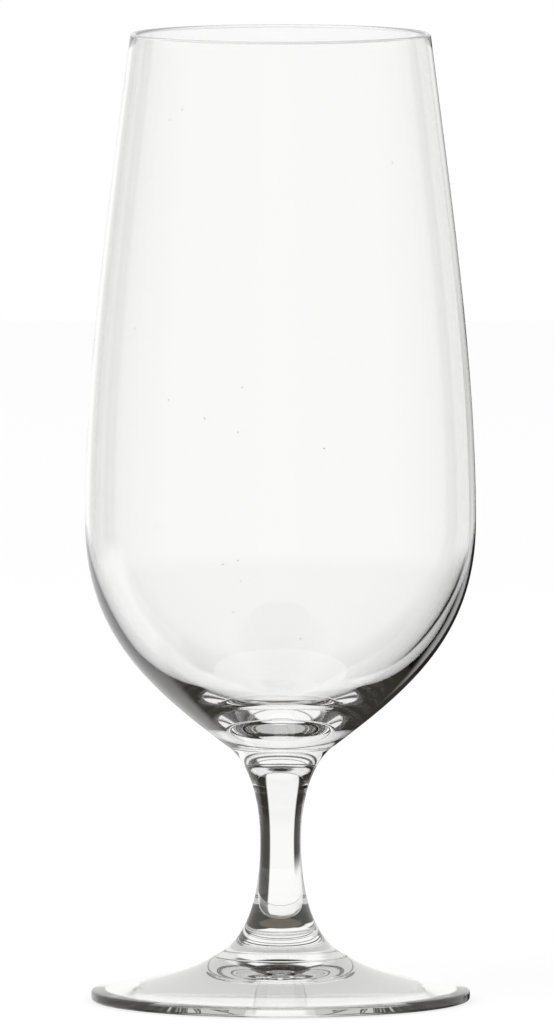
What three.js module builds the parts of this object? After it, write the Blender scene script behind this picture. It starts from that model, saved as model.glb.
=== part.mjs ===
// A stemmed beer glass: a tall bowl, a short waisted stem and a round foot, three bodies
// of clear glass joined end to end while hot. Every piece is round about the upright axis.
// Millimetres, +Z up, origin at the middle of the plane that the foot rests on.
import * as THREE from "three";

// Heights, each piece measured from its own lower end
const footHeight = 9; // resting plane to the seam under the stem
const stemLength = 43.25; // seam to seam
const bowlHeight = 147.75; // seam on top of the stem to the rim

// Bowl
const rimRadius = 31; // outside, at the lip
const rimWall = 1.2;
const rimFlare = 7.3; // degrees from upright: the wall spreads out below the lip
const rimPull = 40; // how far the lip's direction carries down the wall
const bellyRadius = 40.35; // outside, at the widest
const bellyWall = 1.4;
const bellyHeight = 46.75; // above the bowl's seam
const bellyRise = 30; // how far the belly stays upright above its widest
const bellyDrop = 23.2; // and below it
const shoulderPull = 20.6; // how far the bowl follows the seam's direction

// Inside of the bowl, below the belly
const floorThickness = 5.2; // solid glass between the seam and the lowest point inside
const hollowDrop = 27; // how far the inside stays upright below the belly
const hollowSpread = 11.5; // how far the inside stays level around its lowest point

// Seam of bowl and stem
const upperSeamRadius = 10.6;
const upperSeamFlare = 53; // degrees from upright

// Stem
const waistRadius = 4.2; // at the narrowest
const waistHeight = 24; // above the foot's seam
const waistRise = 10; // how far the stem stays upright above its waist
const waistDrop = 10.2; // and below it
const stemTopPull = 4.2;
const stemRootPull = 8.2;

// Seam of stem and foot
const lowerSeamRadius = 13.8;
const lowerSeamFlare = 66; // degrees from upright

// Foot
const footRadius = 39.15;
const footEdge = 2.1; // thickness at the edge
const footCorner = 0.6; // rounding of the edge, above and below
const footSlope = 9; // degrees from level, where the top meets the edge
const footRootPull = 1.5;
const footTopPull = 23;
const restingRing = 2.4; // width of the flat ring that touches the table
const footHollow = 5; // rise of the underside at its middle
const footHollowSpread = 8; // how far the underside stays level around its middle
const footHollowSlope = 9; // degrees from level, just inside the resting ring
const footHollowPull = 12; // how far the underside keeps that slope

const segmentsRound = 64;

const at = (radius, height) => new THREE.Vector2(radius, height);

// A step of the given length that leans outwards from upright by so many degrees.
function lean(degrees, length) {
  const angle = THREE.MathUtils.degToRad(degrees);
  return at(Math.sin(angle), Math.cos(angle)).multiplyScalar(length);
}

// A smooth run between two points of an outline, bent by a pull at each end.
function sweep(from, pullFrom, to, pullTo, steps) {
  const start = from.clone().add(pullFrom);
  const finish = to.clone().add(pullTo);
  return new THREE.CubicBezierCurve(from, start, finish, to).getPoints(steps);
}

// A rounded edge, as points on an arc between two angles in degrees.
function round(centre, radius, fromAngle, toAngle, steps) {
  return Array.from({ length: steps + 1 }, (_, step) => {
    const angle = fromAngle + ((toAngle - fromAngle) * step) / steps;
    return centre.clone().add(lean(90 - angle, radius));
  });
}

// Neighbouring runs share their end points, and each point is kept once.
function join(...runs) {
  return runs.flat().filter((point, i, all) => i === 0 || point.distanceTo(all[i - 1]) > 1e-6);
}

// One piece of glass, turned from half its section, standing at its own height.
function turned(name, outline, height, tint) {
  const geometry = new THREE.LatheGeometry(outline, segmentsRound).rotateX(Math.PI / 2);
  const glass = new THREE.MeshStandardMaterial({
    color: tint,
    roughness: 0.03,
    metalness: 0,
    transparent: true,
    opacity: 0.35,
  });
  const piece = new THREE.Mesh(geometry, glass);
  piece.name = name;
  piece.position.z = height;
  return piece;
}

function makeBowl() {
  const seam = at(upperSeamRadius, 0);
  const belly = at(bellyRadius, bellyHeight);
  const insideBelly = at(bellyRadius - bellyWall, bellyHeight);
  const floor = at(0, floorThickness);
  const lipRound = rimWall / 2;
  const lipCentre = at(rimRadius - lipRound, bowlHeight - lipRound);
  const lip = round(lipCentre, lipRound, rimFlare, 180 + rimFlare, 4);
  const downTheWall = lean(180 - rimFlare, rimPull);
  const outline = join(
    [at(0, 0)],
    sweep(seam, lean(upperSeamFlare, shoulderPull), belly, at(0, -bellyDrop), 12),
    sweep(belly, at(0, bellyRise), lip[0], downTheWall, 8),
    lip,
    sweep(lip.at(-1), downTheWall, insideBelly, at(0, bellyRise), 8),
    sweep(insideBelly, at(0, -hollowDrop), floor, at(hollowSpread, 0), 12),
  );
  return turned("bowl", outline, footHeight + stemLength, 0xf3f5f4);
}

function makeStem() {
  const root = at(lowerSeamRadius, 0);
  const waist = at(waistRadius, waistHeight);
  const top = at(upperSeamRadius, stemLength);
  const outline = join(
    [at(0, 0)],
    sweep(root, lean(-lowerSeamFlare, stemRootPull), waist, at(0, -waistDrop), 11),
    sweep(waist, at(0, waistRise), top, lean(upperSeamFlare, -stemTopPull), 10),
    [at(0, stemLength)],
  );
  return turned("stem", outline, footHeight, 0xe9ebe8);
}

function makeFoot() {
  const lowerCorner = at(footRadius - footCorner, footCorner);
  const upperCorner = at(lowerCorner.x, footEdge - footCorner);
  const ringInside = at(lowerCorner.x - restingRing, 0);
  const shoulder = round(upperCorner, footCorner, 0, 90 - footSlope, 4);
  const seam = at(lowerSeamRadius, footHeight);
  const upTheHollow = lean(footHollowSlope - 90, footHollowPull);
  const upTheTop = lean(footSlope - 90, footTopPull);
  const outline = join(
    sweep(at(0, footHollow), at(footHollowSpread, 0), ringInside, upTheHollow, 7),
    round(lowerCorner, footCorner, -90, 0, 4),
    shoulder,
    sweep(shoulder.at(-1), upTheTop, seam, lean(180 - lowerSeamFlare, footRootPull), 9),
    [at(0, footHeight)],
  );
  return turned("foot", outline, 0, 0xeceeed);
}

const glass = new THREE.Group();
glass.add(makeFoot(), makeStem(), makeBowl());

export default glass;
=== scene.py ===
import math

import bpy
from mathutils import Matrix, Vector
from mathutils.geometry import interpolate_bezier


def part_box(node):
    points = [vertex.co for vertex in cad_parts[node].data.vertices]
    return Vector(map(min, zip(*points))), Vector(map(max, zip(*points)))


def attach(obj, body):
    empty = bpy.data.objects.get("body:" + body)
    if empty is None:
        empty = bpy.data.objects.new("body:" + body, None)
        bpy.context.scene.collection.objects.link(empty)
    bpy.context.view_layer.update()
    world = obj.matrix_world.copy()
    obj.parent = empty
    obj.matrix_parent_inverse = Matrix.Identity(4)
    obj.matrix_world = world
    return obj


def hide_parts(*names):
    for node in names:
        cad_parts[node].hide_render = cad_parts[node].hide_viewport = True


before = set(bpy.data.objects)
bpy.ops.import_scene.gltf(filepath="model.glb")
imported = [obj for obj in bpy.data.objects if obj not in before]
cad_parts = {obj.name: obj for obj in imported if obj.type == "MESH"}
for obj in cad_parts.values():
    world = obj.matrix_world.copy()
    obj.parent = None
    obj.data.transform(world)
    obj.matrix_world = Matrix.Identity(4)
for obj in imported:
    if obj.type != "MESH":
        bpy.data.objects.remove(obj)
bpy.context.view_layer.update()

# A stemmed beer glass on a pale floor: bowl, stem and foot of clear glass, turned about Z.
# Sizes in the dictionaries are millimetres and degrees, the scene itself is in metres.
mm = 0.001
bowlBox, stemBox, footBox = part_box("bowl"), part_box("stem"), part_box("foot")
footSeam = footBox[1].z      # foot and stem meet here
bowlSeam = stemBox[1].z      # stem and bowl meet here
rimHeight = bowlBox[1].z
print("frame loaded, the glass is", round(rimHeight / mm, 1), "mm tall")

# What two neighbouring pieces share at a seam
upperSeam = {"radius": 10.6, "flare": 53}
lowerSeam = {"radius": 13.8, "flare": 66}

# How finely the pieces are built
roundSteps = 192             # faces round each piece
bendSteps = 60               # along a bent run of an outline
floorSteps = 70              # along the bowl's inside floor
stemSteps = 48
wallSteps = 40               # along the nearly straight wall
lipSteps = 16
edgeSteps = 10               # round a corner of the foot


# Outlines: points are (radius, height), in metres

def at(radius, height):
    return Vector((radius, height))


def lean(degrees, length):
    # a step that leans outwards from upright by so many degrees
    angle = math.radians(degrees)
    return at(math.sin(angle), math.cos(angle)) * length


def sweepCurve(start, startPull, end, endPull, steps):
    points = interpolate_bezier(start, start + startPull, end + endPull, end, steps + 1)
    return [p.to_2d() for p in points]


def roundEdge(centre, radius, fromAngle, toAngle, steps):
    angles = [fromAngle + (toAngle - fromAngle) * i / steps for i in range(steps + 1)]
    return [centre + lean(90 - angle, radius) for angle in angles]


def inMetres(sizes, asTheyAre):
    return {key: value if key in asTheyAre else value * mm for key, value in sizes.items()}


def turnPiece(name, runs, materials):
    # runs are (points, material number), each starting where the last one ended
    points = [runs[0][0][0]]
    faceMaterial = []
    for run, number in runs:
        for point in run:
            if (point - points[-1]).length > 1e-7:
                points.append(point)
                faceMaterial.append(number)
    verts, rings, faces, numbers = [], [], [], []
    for radius, height in points:
        count = roundSteps if radius > 1e-7 else 1
        rings.append(range(len(verts), len(verts) + count))
        for i in range(count):
            turn = 2 * math.pi * i / roundSteps
            verts.append((radius * math.cos(turn), radius * math.sin(turn), height))
    for below, above, number in zip(rings, rings[1:], faceMaterial):
        for i in range(roundSteps):
            j = (i + 1) % roundSteps
            corners = [below[i % len(below)], below[j % len(below)],
                       above[j % len(above)], above[i % len(above)]]
            faces.append(list(dict.fromkeys(corners)))
            numbers.append(number)
    mesh = bpy.data.meshes.new(name)
    mesh.from_pydata(verts, [], faces)
    for material in materials:
        mesh.materials.append(material)
    mesh.polygons.foreach_set("material_index", numbers)
    mesh.polygons.foreach_set("use_smooth", [True] * len(faces))
    mesh.update()
    piece = bpy.data.objects.new(name, mesh)
    bpy.context.scene.collection.objects.link(piece)
    return piece


# Small helpers for node trees

def calculate(tree, operation, *values):
    node = tree.nodes.new("ShaderNodeMath")
    node.operation = operation
    for socket, value in zip(node.inputs, values):
        if isinstance(value, (int, float)):
            socket.default_value = value
        else:
            tree.links.new(value, socket)
    return node.outputs[0]


def blend(tree, share, first, second):
    # a mix of two shaders, share is the second one's
    node = tree.nodes.new("ShaderNodeMixShader")
    if isinstance(share, (int, float)):
        node.inputs["Fac"].default_value = share
    else:
        tree.links.new(share, node.inputs["Fac"])
    tree.links.new(first, node.inputs[1])
    tree.links.new(second, node.inputs[2])
    return node.outputs[0]


def letThrough(tree, level):
    node = tree.nodes.new("ShaderNodeBsdfTransparent")
    node.inputs["Color"].default_value = (level, level, level, 1)
    return node.outputs[0]


def pathTurns(tree, path):
    # how often light has turned back inside the glass so far
    return calculate(tree, "SUBTRACT", path.outputs["Ray Depth"], path.outputs["Transmission Depth"])


def newMaterial(name):
    material = bpy.data.materials.new(name)
    material.use_nodes = True
    material.node_tree.nodes.clear()
    return material


# Glass

white = (1.0, 1.0, 1.0)
glassFinish = {
    "ior": 1.52,
    "shade": 0.86,           # how much light the glass lets through to its own shadow
    "waveSize": 14,          # faint waviness of glass worked by hand
    "waveDepth": 0.012,
    "speckSpacing": 9,       # dust and seeds, far apart
    "speckSize": 0.16,
    "speckTint": (0.5, 0.5, 0.48),
}


def startGlass(name, tint):
    # clear glass with its waves and specks, to which a finish may add
    material = newMaterial(name)
    tree = material.node_tree
    nodes, links = tree.nodes, tree.links
    place = nodes.new("ShaderNodeTexCoord")
    waves = nodes.new("ShaderNodeTexNoise")
    waves.inputs["Scale"].default_value = 1 / (glassFinish["waveSize"] * mm)
    waves.inputs["Detail"].default_value = 1
    links.new(place.outputs["Object"], waves.inputs["Vector"])
    bump = nodes.new("ShaderNodeBump")
    bump.inputs["Distance"].default_value = glassFinish["waveDepth"] * mm
    links.new(waves.outputs[0], bump.inputs["Height"])
    specks = nodes.new("ShaderNodeTexVoronoi")
    specks.inputs["Scale"].default_value = 1 / (glassFinish["speckSpacing"] * mm)
    links.new(place.outputs["Object"], specks.inputs["Vector"])
    speckShare = glassFinish["speckSize"] / glassFinish["speckSpacing"]
    near = calculate(tree, "LESS_THAN", specks.outputs["Distance"], speckShare)
    colour = nodes.new("ShaderNodeMix")
    colour.data_type = "RGBA"
    links.new(near, colour.inputs["Factor"])
    colour.inputs[6].default_value = (*tint, 1)
    colour.inputs[7].default_value = (*glassFinish["speckTint"], 1)
    glass = nodes.new("ShaderNodeBsdfGlass")
    glass.inputs["Roughness"].default_value = 0
    glass.inputs["IOR"].default_value = glassFinish["ior"]
    links.new(colour.outputs[2], glass.inputs["Color"])
    links.new(bump.outputs[0], glass.inputs["Normal"])
    return material, place, nodes.new("ShaderNodeLightPath"), glass.outputs[0]


def endGlass(material, path, body):
    # lets light through to the shadow on the floor
    tree = material.node_tree
    mix = blend(tree, path.outputs["Is Shadow Ray"], body, letThrough(tree, glassFinish["shade"]))
    out = tree.nodes.new("ShaderNodeOutputMaterial")
    tree.links.new(mix, out.inputs["Surface"])
    return material


def makeGlass(name, tint):
    material, place, path, body = startGlass(name, tint)
    return endGlass(material, path, body)


def makeSeam():
    # where two pieces are fused, light goes straight on
    material = newMaterial("fusedSeam")
    tree = material.node_tree
    out = tree.nodes.new("ShaderNodeOutputMaterial")
    tree.links.new(letThrough(tree, 1), out.inputs["Surface"])
    return material


fusedSeam = makeSeam()
print("seam finish mixed")


# Bowl

bowl = {
    "rimRadius": 31,
    "rimWall": 1.2,
    "rimFlare": 7.3,
    "rimPull": 40,
    "bellyWall": 1.4,
    "bellyHeight": 46.75,    # above the seam
    "bellyRise": 30,
    "bellyDrop": 23.2,
    "shoulderPull": 20.6,
    "floorThickness": 5.2,
    "hollowDrop": 27,
    "hollowSpread": 11.5,
    "tint": (0.998, 0.998, 0.997),
    "lipPaintedGleam": 0.5,         # painted highlight: share of white diffuse that lightens the rounded lip, standing in for the light it gathers from all round
}


def makeLipGlass():
    material, place, path, body = startGlass("lipGlass", bowl["tint"])
    tree = material.node_tree
    # painted highlight: a white diffuse share mixed into the glass lightens the lip and hides its dark line
    pale = tree.nodes.new("ShaderNodeBsdfDiffuse")
    pale.inputs["Color"].default_value = (*white, 1)
    return endGlass(material, path, blend(tree, bowl["lipPaintedGleam"], body, pale.outputs[0]))


def makeBowl():
    size = inMetres(bowl, ("rimFlare", "tint", "lipPaintedGleam"))
    seam = at(upperSeam["radius"] * mm, bowlSeam)
    belly = at(bowlBox[1].x, bowlSeam + size["bellyHeight"])
    insideBelly = belly - at(size["bellyWall"], 0)
    floor = at(0, bowlSeam + size["floorThickness"])
    lipRound = size["rimWall"] / 2
    lipCentre = at(size["rimRadius"] - lipRound, rimHeight - lipRound)
    lip = roundEdge(lipCentre, lipRound, size["rimFlare"], 180 + size["rimFlare"], lipSteps)
    downTheWall = lean(180 - size["rimFlare"], size["rimPull"])
    upTheWall = at(0, size["bellyRise"])
    shoulder = lean(upperSeam["flare"], size["shoulderPull"])
    outside = sweepCurve(seam, shoulder, belly, at(0, -size["bellyDrop"]), bendSteps)
    outside += sweepCurve(belly, upTheWall, lip[0], downTheWall, wallSteps)
    inside = sweepCurve(lip[-1], downTheWall, insideBelly, upTheWall, wallSteps)
    downInside, alongFloor = at(0, -size["hollowDrop"]), at(size["hollowSpread"], 0)
    inside += sweepCurve(insideBelly, downInside, floor, alongFloor, floorSteps)
    runs = [([at(0, bowlSeam), seam], 1), (outside, 0), (lip, 2), (inside, 0)]
    finishes = [makeGlass("bowlGlass", bowl["tint"]), fusedSeam, makeLipGlass()]
    return turnPiece("blownBowl", runs, finishes)


# Stem

stem = {
    "waistRadius": 4.2,
    "waistHeight": 24,       # above the foot's seam
    "waistRise": 10,
    "waistDrop": 10.2,
    "topPull": 4.2,
    "rootPull": 8.2,
    "tint": (0.992, 0.994, 0.988),
}


def makeStem():
    size = inMetres(stem, ("tint",))
    root = at(lowerSeam["radius"] * mm, footSeam)
    waist = at(size["waistRadius"], footSeam + size["waistHeight"])
    top = at(upperSeam["radius"] * mm, bowlSeam)
    rootPull = lean(-lowerSeam["flare"], size["rootPull"])
    topPull = lean(upperSeam["flare"], -size["topPull"])
    side = sweepCurve(root, rootPull, waist, at(0, -size["waistDrop"]), stemSteps)
    side += sweepCurve(waist, at(0, size["waistRise"]), top, topPull, stemSteps)
    runs = [([at(0, footSeam), root], 1), (side, 0), ([top, at(0, bowlSeam)], 1)]
    return turnPiece("drawnStem", runs, [makeGlass("stemGlass", stem["tint"]), fusedSeam])


# Foot

foot = {
    "edge": 2.1,
    "corner": 0.6,           # rounding of the edge, above and below
    "slope": 9,              # degrees from level, where the top meets the edge
    "rootPull": 1.5,
    "topPull": 23,
    "restingRing": 2.4,
    "ringLap": 0.05,         # how far the underside's finish laps on to the ring
    "hollow": 5,             # rise of the underside at its middle
    "hollowSpread": 8,
    "hollowSlope": 9,        # degrees from level, just inside the ring
    "hollowPull": 12,
    "tint": (0.992, 0.994, 0.988),
}
underside = {                # how its hollow passes light on to the table
    "turns": 2,              # after so many turns inside the glass
    "slant": 0.42,
    "reach": 28,             # out to this radius
    "fade": 1,
    "core": 18,              # at any slant inside this one
    "glow": 0.56,
}


def makeUndersideGlass():
    # light that has wandered inside the foot leaves to the pale table
    material, place, path, body = startGlass("undersideGlass", foot["tint"])
    tree = material.node_tree
    wandered = calculate(tree, "GREATER_THAN", pathTurns(tree, path), underside["turns"] - 0.5)
    slant = tree.nodes.new("ShaderNodeLayerWeight")
    steep = calculate(tree, "LESS_THAN", slant.outputs["Facing"], underside["slant"])
    flat = tree.nodes.new("ShaderNodeVectorMath")
    flat.operation = "MULTIPLY"
    flat.inputs[1].default_value = (1, 1, 0)
    tree.links.new(place.outputs["Object"], flat.inputs[0])
    radius = tree.nodes.new("ShaderNodeVectorMath")
    radius.operation = "LENGTH"
    tree.links.new(flat.outputs[0], radius.inputs[0])
    inside = tree.nodes.new("ShaderNodeMapRange")
    inside.inputs["From Min"].default_value = (underside["reach"] + underside["fade"]) * mm
    inside.inputs["From Max"].default_value = (underside["reach"] - underside["fade"]) * mm
    tree.links.new(radius.outputs["Value"], inside.inputs["Value"])
    core = calculate(tree, "LESS_THAN", radius.outputs["Value"], underside["core"] * mm)
    leaving = calculate(tree, "MULTIPLY", wandered, calculate(tree, "MAXIMUM", steep, core))
    share = calculate(tree, "MULTIPLY", leaving, inside.outputs[0])
    return endGlass(material, path, blend(tree, share, body, letThrough(tree, underside["glow"])))


def makeFoot():
    size = inMetres(foot, ("slope", "hollowSlope", "tint"))
    lowerCorner = at(footBox[1].x - size["corner"], size["corner"])
    upperCorner = at(lowerCorner.x, size["edge"] - size["corner"])
    ringInside = at(lowerCorner.x - size["restingRing"], 0)
    edge = roundEdge(lowerCorner, size["corner"], -90, 0, edgeSteps)
    edge += roundEdge(upperCorner, size["corner"], 0, 90 - size["slope"], edgeSteps)
    seam = at(lowerSeam["radius"] * mm, footSeam)
    upTheTop = lean(size["slope"] - 90, size["topPull"])
    rootPull = lean(180 - lowerSeam["flare"], size["rootPull"])
    middle = at(0, size["hollow"])
    upTheHollow = lean(size["hollowSlope"] - 90, size["hollowPull"])
    under = sweepCurve(middle, at(size["hollowSpread"], 0), ringInside, upTheHollow, bendSteps)
    under.append(ringInside + at(size["ringLap"], 0))
    top = sweepCurve(edge[-1], upTheTop, seam, rootPull, bendSteps)
    runs = [(under, 2), (edge, 0), (top, 0), ([seam, at(0, footSeam)], 1)]
    finishes = [makeGlass("footGlass", foot["tint"]), fusedSeam, makeUndersideGlass()]
    return turnPiece("pressedFoot", runs, finishes)


for piece, node, slot in ((makeBowl(), "bowl", "bowl_glass"),
                          (makeStem(), "stem", "stem_glass"),
                          (makeFoot(), "foot", "foot_glass")):
    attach(piece, "root")
    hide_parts(node)
    print(piece.name, "turned,", len(piece.data.polygons), "faces")


# Floor

floor = {
    "size": 4.0,             # metres
    "drop": 0.0002,          # metres, just below the foot
    "paint": 0.3,
    "glow": 0.74,            # lifts the pale floor to the white of the backdrop
}


def makePaint():
    material = newMaterial("palePaint")
    tree = material.node_tree
    nodes, links = tree.nodes, tree.links
    paint = nodes.new("ShaderNodeBsdfDiffuse")
    paint.inputs["Color"].default_value = (floor["paint"],) * 3 + (1,)
    path = nodes.new("ShaderNodeLightPath")
    glow = nodes.new("ShaderNodeEmission")
    strength = calculate(tree, "MULTIPLY", path.outputs["Is Camera Ray"], floor["glow"])
    links.new(strength, glow.inputs["Strength"])
    add = nodes.new("ShaderNodeAddShader")
    links.new(paint.outputs[0], add.inputs[0])
    links.new(glow.outputs[0], add.inputs[1])
    out = nodes.new("ShaderNodeOutputMaterial")
    links.new(add.outputs[0], out.inputs["Surface"])
    return material


def makeFloor():
    half = floor["size"] / 2
    square = ((-half, -half), (half, -half), (half, half), (-half, half))
    corners = [(x, y, -floor["drop"]) for x, y in square]
    mesh = bpy.data.meshes.new("paleFloor")
    mesh.from_pydata(corners, [], [(0, 1, 2, 3)])
    mesh.update()
    mesh.materials.append(makePaint())
    plane = bpy.data.objects.new("paleFloor", mesh)
    bpy.context.scene.collection.objects.link(plane)
    plane.visible_transmission = False     # the studio round the glass decides what shows through it
    plane.visible_glossy = False


makeFloor()
print("floor laid")


# Studio, as the glass sees it: a dark room with lit panels, each laid over the ones before it.
# azimuth 0 is +Y, straight behind the glass, and 90 is +X; elevation 0 is level.
# turns: how often light turned back inside the glass, from and to, to show the panel.
# passes: how many faces of glass it has gone through at least.

dark = (0.034, 0.031, 0.026)
brown = (0.12, 0.105, 0.075)
grey = (0.45, 0.44, 0.42)
paleLeft = (0.71, 0.71, 0.71)
paleRight = (0.82, 0.82, 0.82)
allRound = (-400, 400)
mostTurns = 32
straight, once, always = (0, 0), (0, 1), (0, mostTurns)


def panel(azimuth, elevation, soft, turns, colour, passes=0):
    return {"azimuth": azimuth, "elevation": elevation, "soft": soft, "turns": turns,
            "colour": colour, "passes": passes}


throughPanels = [            # seen through the glass
    panel(allRound, (50, 400), (6, 6), (5, mostTurns), white),   # ceiling
    panel((-31, 22), (-60, 38), (4, 6), always, white),          # behind
    panel((-66, -26), (-52, -12), (10, 8), once, white),         # sides, far side, low
    panel((-112, -68), (-26, 22), (10, 10), straight, white),
    panel((112, 158), (-38, 10), (10, 10), straight, white),
    panel(allRound, (-400, -60), (4, 6), always, brown),         # table top under the glass
    panel((-48, -21), (-14, 20), (6, 8), (1, 1), paleLeft, 2),   # turned back once inside the bowl's wall
    panel((21, 48), (-14, 20), (6, 8), (1, 1), paleRight, 2),
    panel((50, 400), (-70, 70), (16, 10), once, white, 4),       # mirrored by the bowl's far wall
    panel((-400, -50), (-70, 70), (16, 10), once, white, 4),
    panel(allRound, (-400, -50), (4, 30), (1, 1), white, 4),
]
mirroredPanels = [           # seen as reflections on its outside
    panel(allRound, (-20, 60), (4, 12), always, white),
    panel((26, 104), (-12, 8), (8, 6), always, paleRight),
    panel((-104, -30), (-12, 8), (8, 6), always, paleLeft),
    panel((26, 60), (-60, -12), (8, 6), always, grey),
    panel((-60, -34), (-60, -12), (8, 6), always, grey),
    panel((3, 30), (-60, -1), (3, 3), always, dark),
    panel(allRound, (-400, -14), (4, 10), always, dark),
    panel((-70, -8), (-40, -8), (6, 8), always, white),          # low on the left
    panel((19, 29), (-24, -6), (5, 8), always, white),           # a narrow strip low on the right
    panel(allRound, (-400, 400), (4, 6), (2, mostTurns), white), # light out through the foot's hollow
]
studio = {"room": dark, "mirrored": dark, "diffuse": (0.9, 0.9, 0.9)}


def makeWorld():
    world = bpy.data.worlds.new("studio")
    bpy.context.scene.world = world
    world.use_nodes = True
    tree = world.node_tree
    nodes, links = tree.nodes, tree.links
    nodes.clear()

    def fade(value, start, end):
        node = nodes.new("ShaderNodeMapRange")
        node.interpolation_type = "SMOOTHSTEP"
        node.inputs["From Min"].default_value = start
        node.inputs["From Max"].default_value = end
        links.new(value, node.inputs["Value"])
        return node.outputs[0]

    def within(value, span, soft):
        rising = fade(value, span[0] - soft / 2, span[0] + soft / 2)
        falling = fade(value, span[1] + soft / 2, span[1] - soft / 2)
        return calculate(tree, "MULTIPLY", rising, falling)

    def mixColour(factor, first, second):
        node = nodes.new("ShaderNodeMix")
        node.data_type = "RGBA"
        links.new(factor, node.inputs["Factor"])
        for name, value in (("A", first), ("B", second)):
            socket = [s for s in node.inputs if s.name == name and s.type == "RGBA"][0]
            if isinstance(value, tuple):
                socket.default_value = (*value, 1)
            else:
                links.new(value, socket)
        return [s for s in node.outputs if s.type == "RGBA"][0]

    place = nodes.new("ShaderNodeTexCoord")
    axes = nodes.new("ShaderNodeSeparateXYZ")
    links.new(place.outputs["Generated"], axes.inputs[0])
    inDegrees = 180 / math.pi
    across = calculate(tree, "ARCTAN2", axes.outputs["X"], axes.outputs["Y"])
    azimuth = calculate(tree, "MULTIPLY", across, inDegrees)
    elevation = calculate(tree, "MULTIPLY", calculate(tree, "ARCSINE", axes.outputs["Z"]), inDegrees)
    path = nodes.new("ShaderNodeLightPath")
    turns = calculate(tree, "SUBTRACT", pathTurns(tree, path), 1)    # the room itself counts for one
    passes = path.outputs["Transmission Depth"]

    def lay(panels, colour):
        for p in panels:
            fewest, most = p["turns"]
            seen = within(azimuth, p["azimuth"], p["soft"][0])
            conditions = [within(elevation, p["elevation"], p["soft"][1])]
            if fewest > 0:
                conditions.append(calculate(tree, "GREATER_THAN", turns, fewest - 0.5))
            if most < mostTurns:
                conditions.append(calculate(tree, "LESS_THAN", turns, most + 0.5))
            if p["passes"] > 0:
                conditions.append(calculate(tree, "GREATER_THAN", passes, p["passes"] - 0.5))
            for condition in conditions:
                seen = calculate(tree, "MULTIPLY", seen, condition)
            colour = mixColour(seen, colour, p["colour"])
        return colour

    through = lay(throughPanels, studio["room"])
    mirrored = lay(mirroredPanels, studio["mirrored"])
    colour = mixColour(path.outputs["Is Transmission Ray"], studio["diffuse"], through)
    colour = mixColour(path.outputs["Is Reflection Ray"], colour, mirrored)
    colour = mixColour(path.outputs["Is Camera Ray"], colour, white)
    background = nodes.new("ShaderNodeBackground")
    out = nodes.new("ShaderNodeOutputWorld")
    links.new(colour, background.inputs["Color"])
    links.new(background.outputs[0], out.inputs["Surface"])


makeWorld()

softbox = {"place": (-0.9, -0.8, 1.6), "size": 1.2, "power": 12}     # metres and watts


def makeSoftbox():
    light = bpy.data.lights.new("softbox", "AREA")
    light.shape = "DISK"
    light.size = softbox["size"]
    light.energy = softbox["power"]
    lamp = bpy.data.objects.new("softbox", light)
    lamp.location = softbox["place"]
    lamp.rotation_euler = (-lamp.location).to_track_quat("-Z", "Y").to_euler()
    lamp.visible_glossy = False
    lamp.visible_transmission = False
    bpy.context.scene.collection.objects.link(lamp)


makeSoftbox()
print("studio lit")


# Camera, at the photograph's viewing angle; metres, the lens and sensor in millimetres

camera = {"place": (0, -5.084, 0.4985), "aim": (-0.00072, 0, 0.101), "lens": 869, "sensor": 36, "reach": 100}


def makeCamera():
    data = bpy.data.cameras.new("photoCamera")
    data.lens = camera["lens"]
    data.sensor_width = camera["sensor"]
    data.clip_end = camera["reach"]
    view = bpy.data.objects.new("photoCamera", data)
    view.location = camera["place"]
    view.rotation_euler = (Vector(camera["aim"]) - view.location).to_track_quat("-Z", "Y").to_euler()
    bpy.context.scene.collection.objects.link(view)
    bpy.context.scene.camera = view


makeCamera()
scene = bpy.context.scene
scene.view_settings.view_transform = "Standard"
scene.cycles.max_bounces = 32
scene.cycles.transmission_bounces = 32
scene.cycles.glossy_bounces = 16
scene.cycles.transparent_max_bounces = 32
scene.cycles.caustics_reflective = False
scene.cycles.caustics_refractive = False
print("camera set")
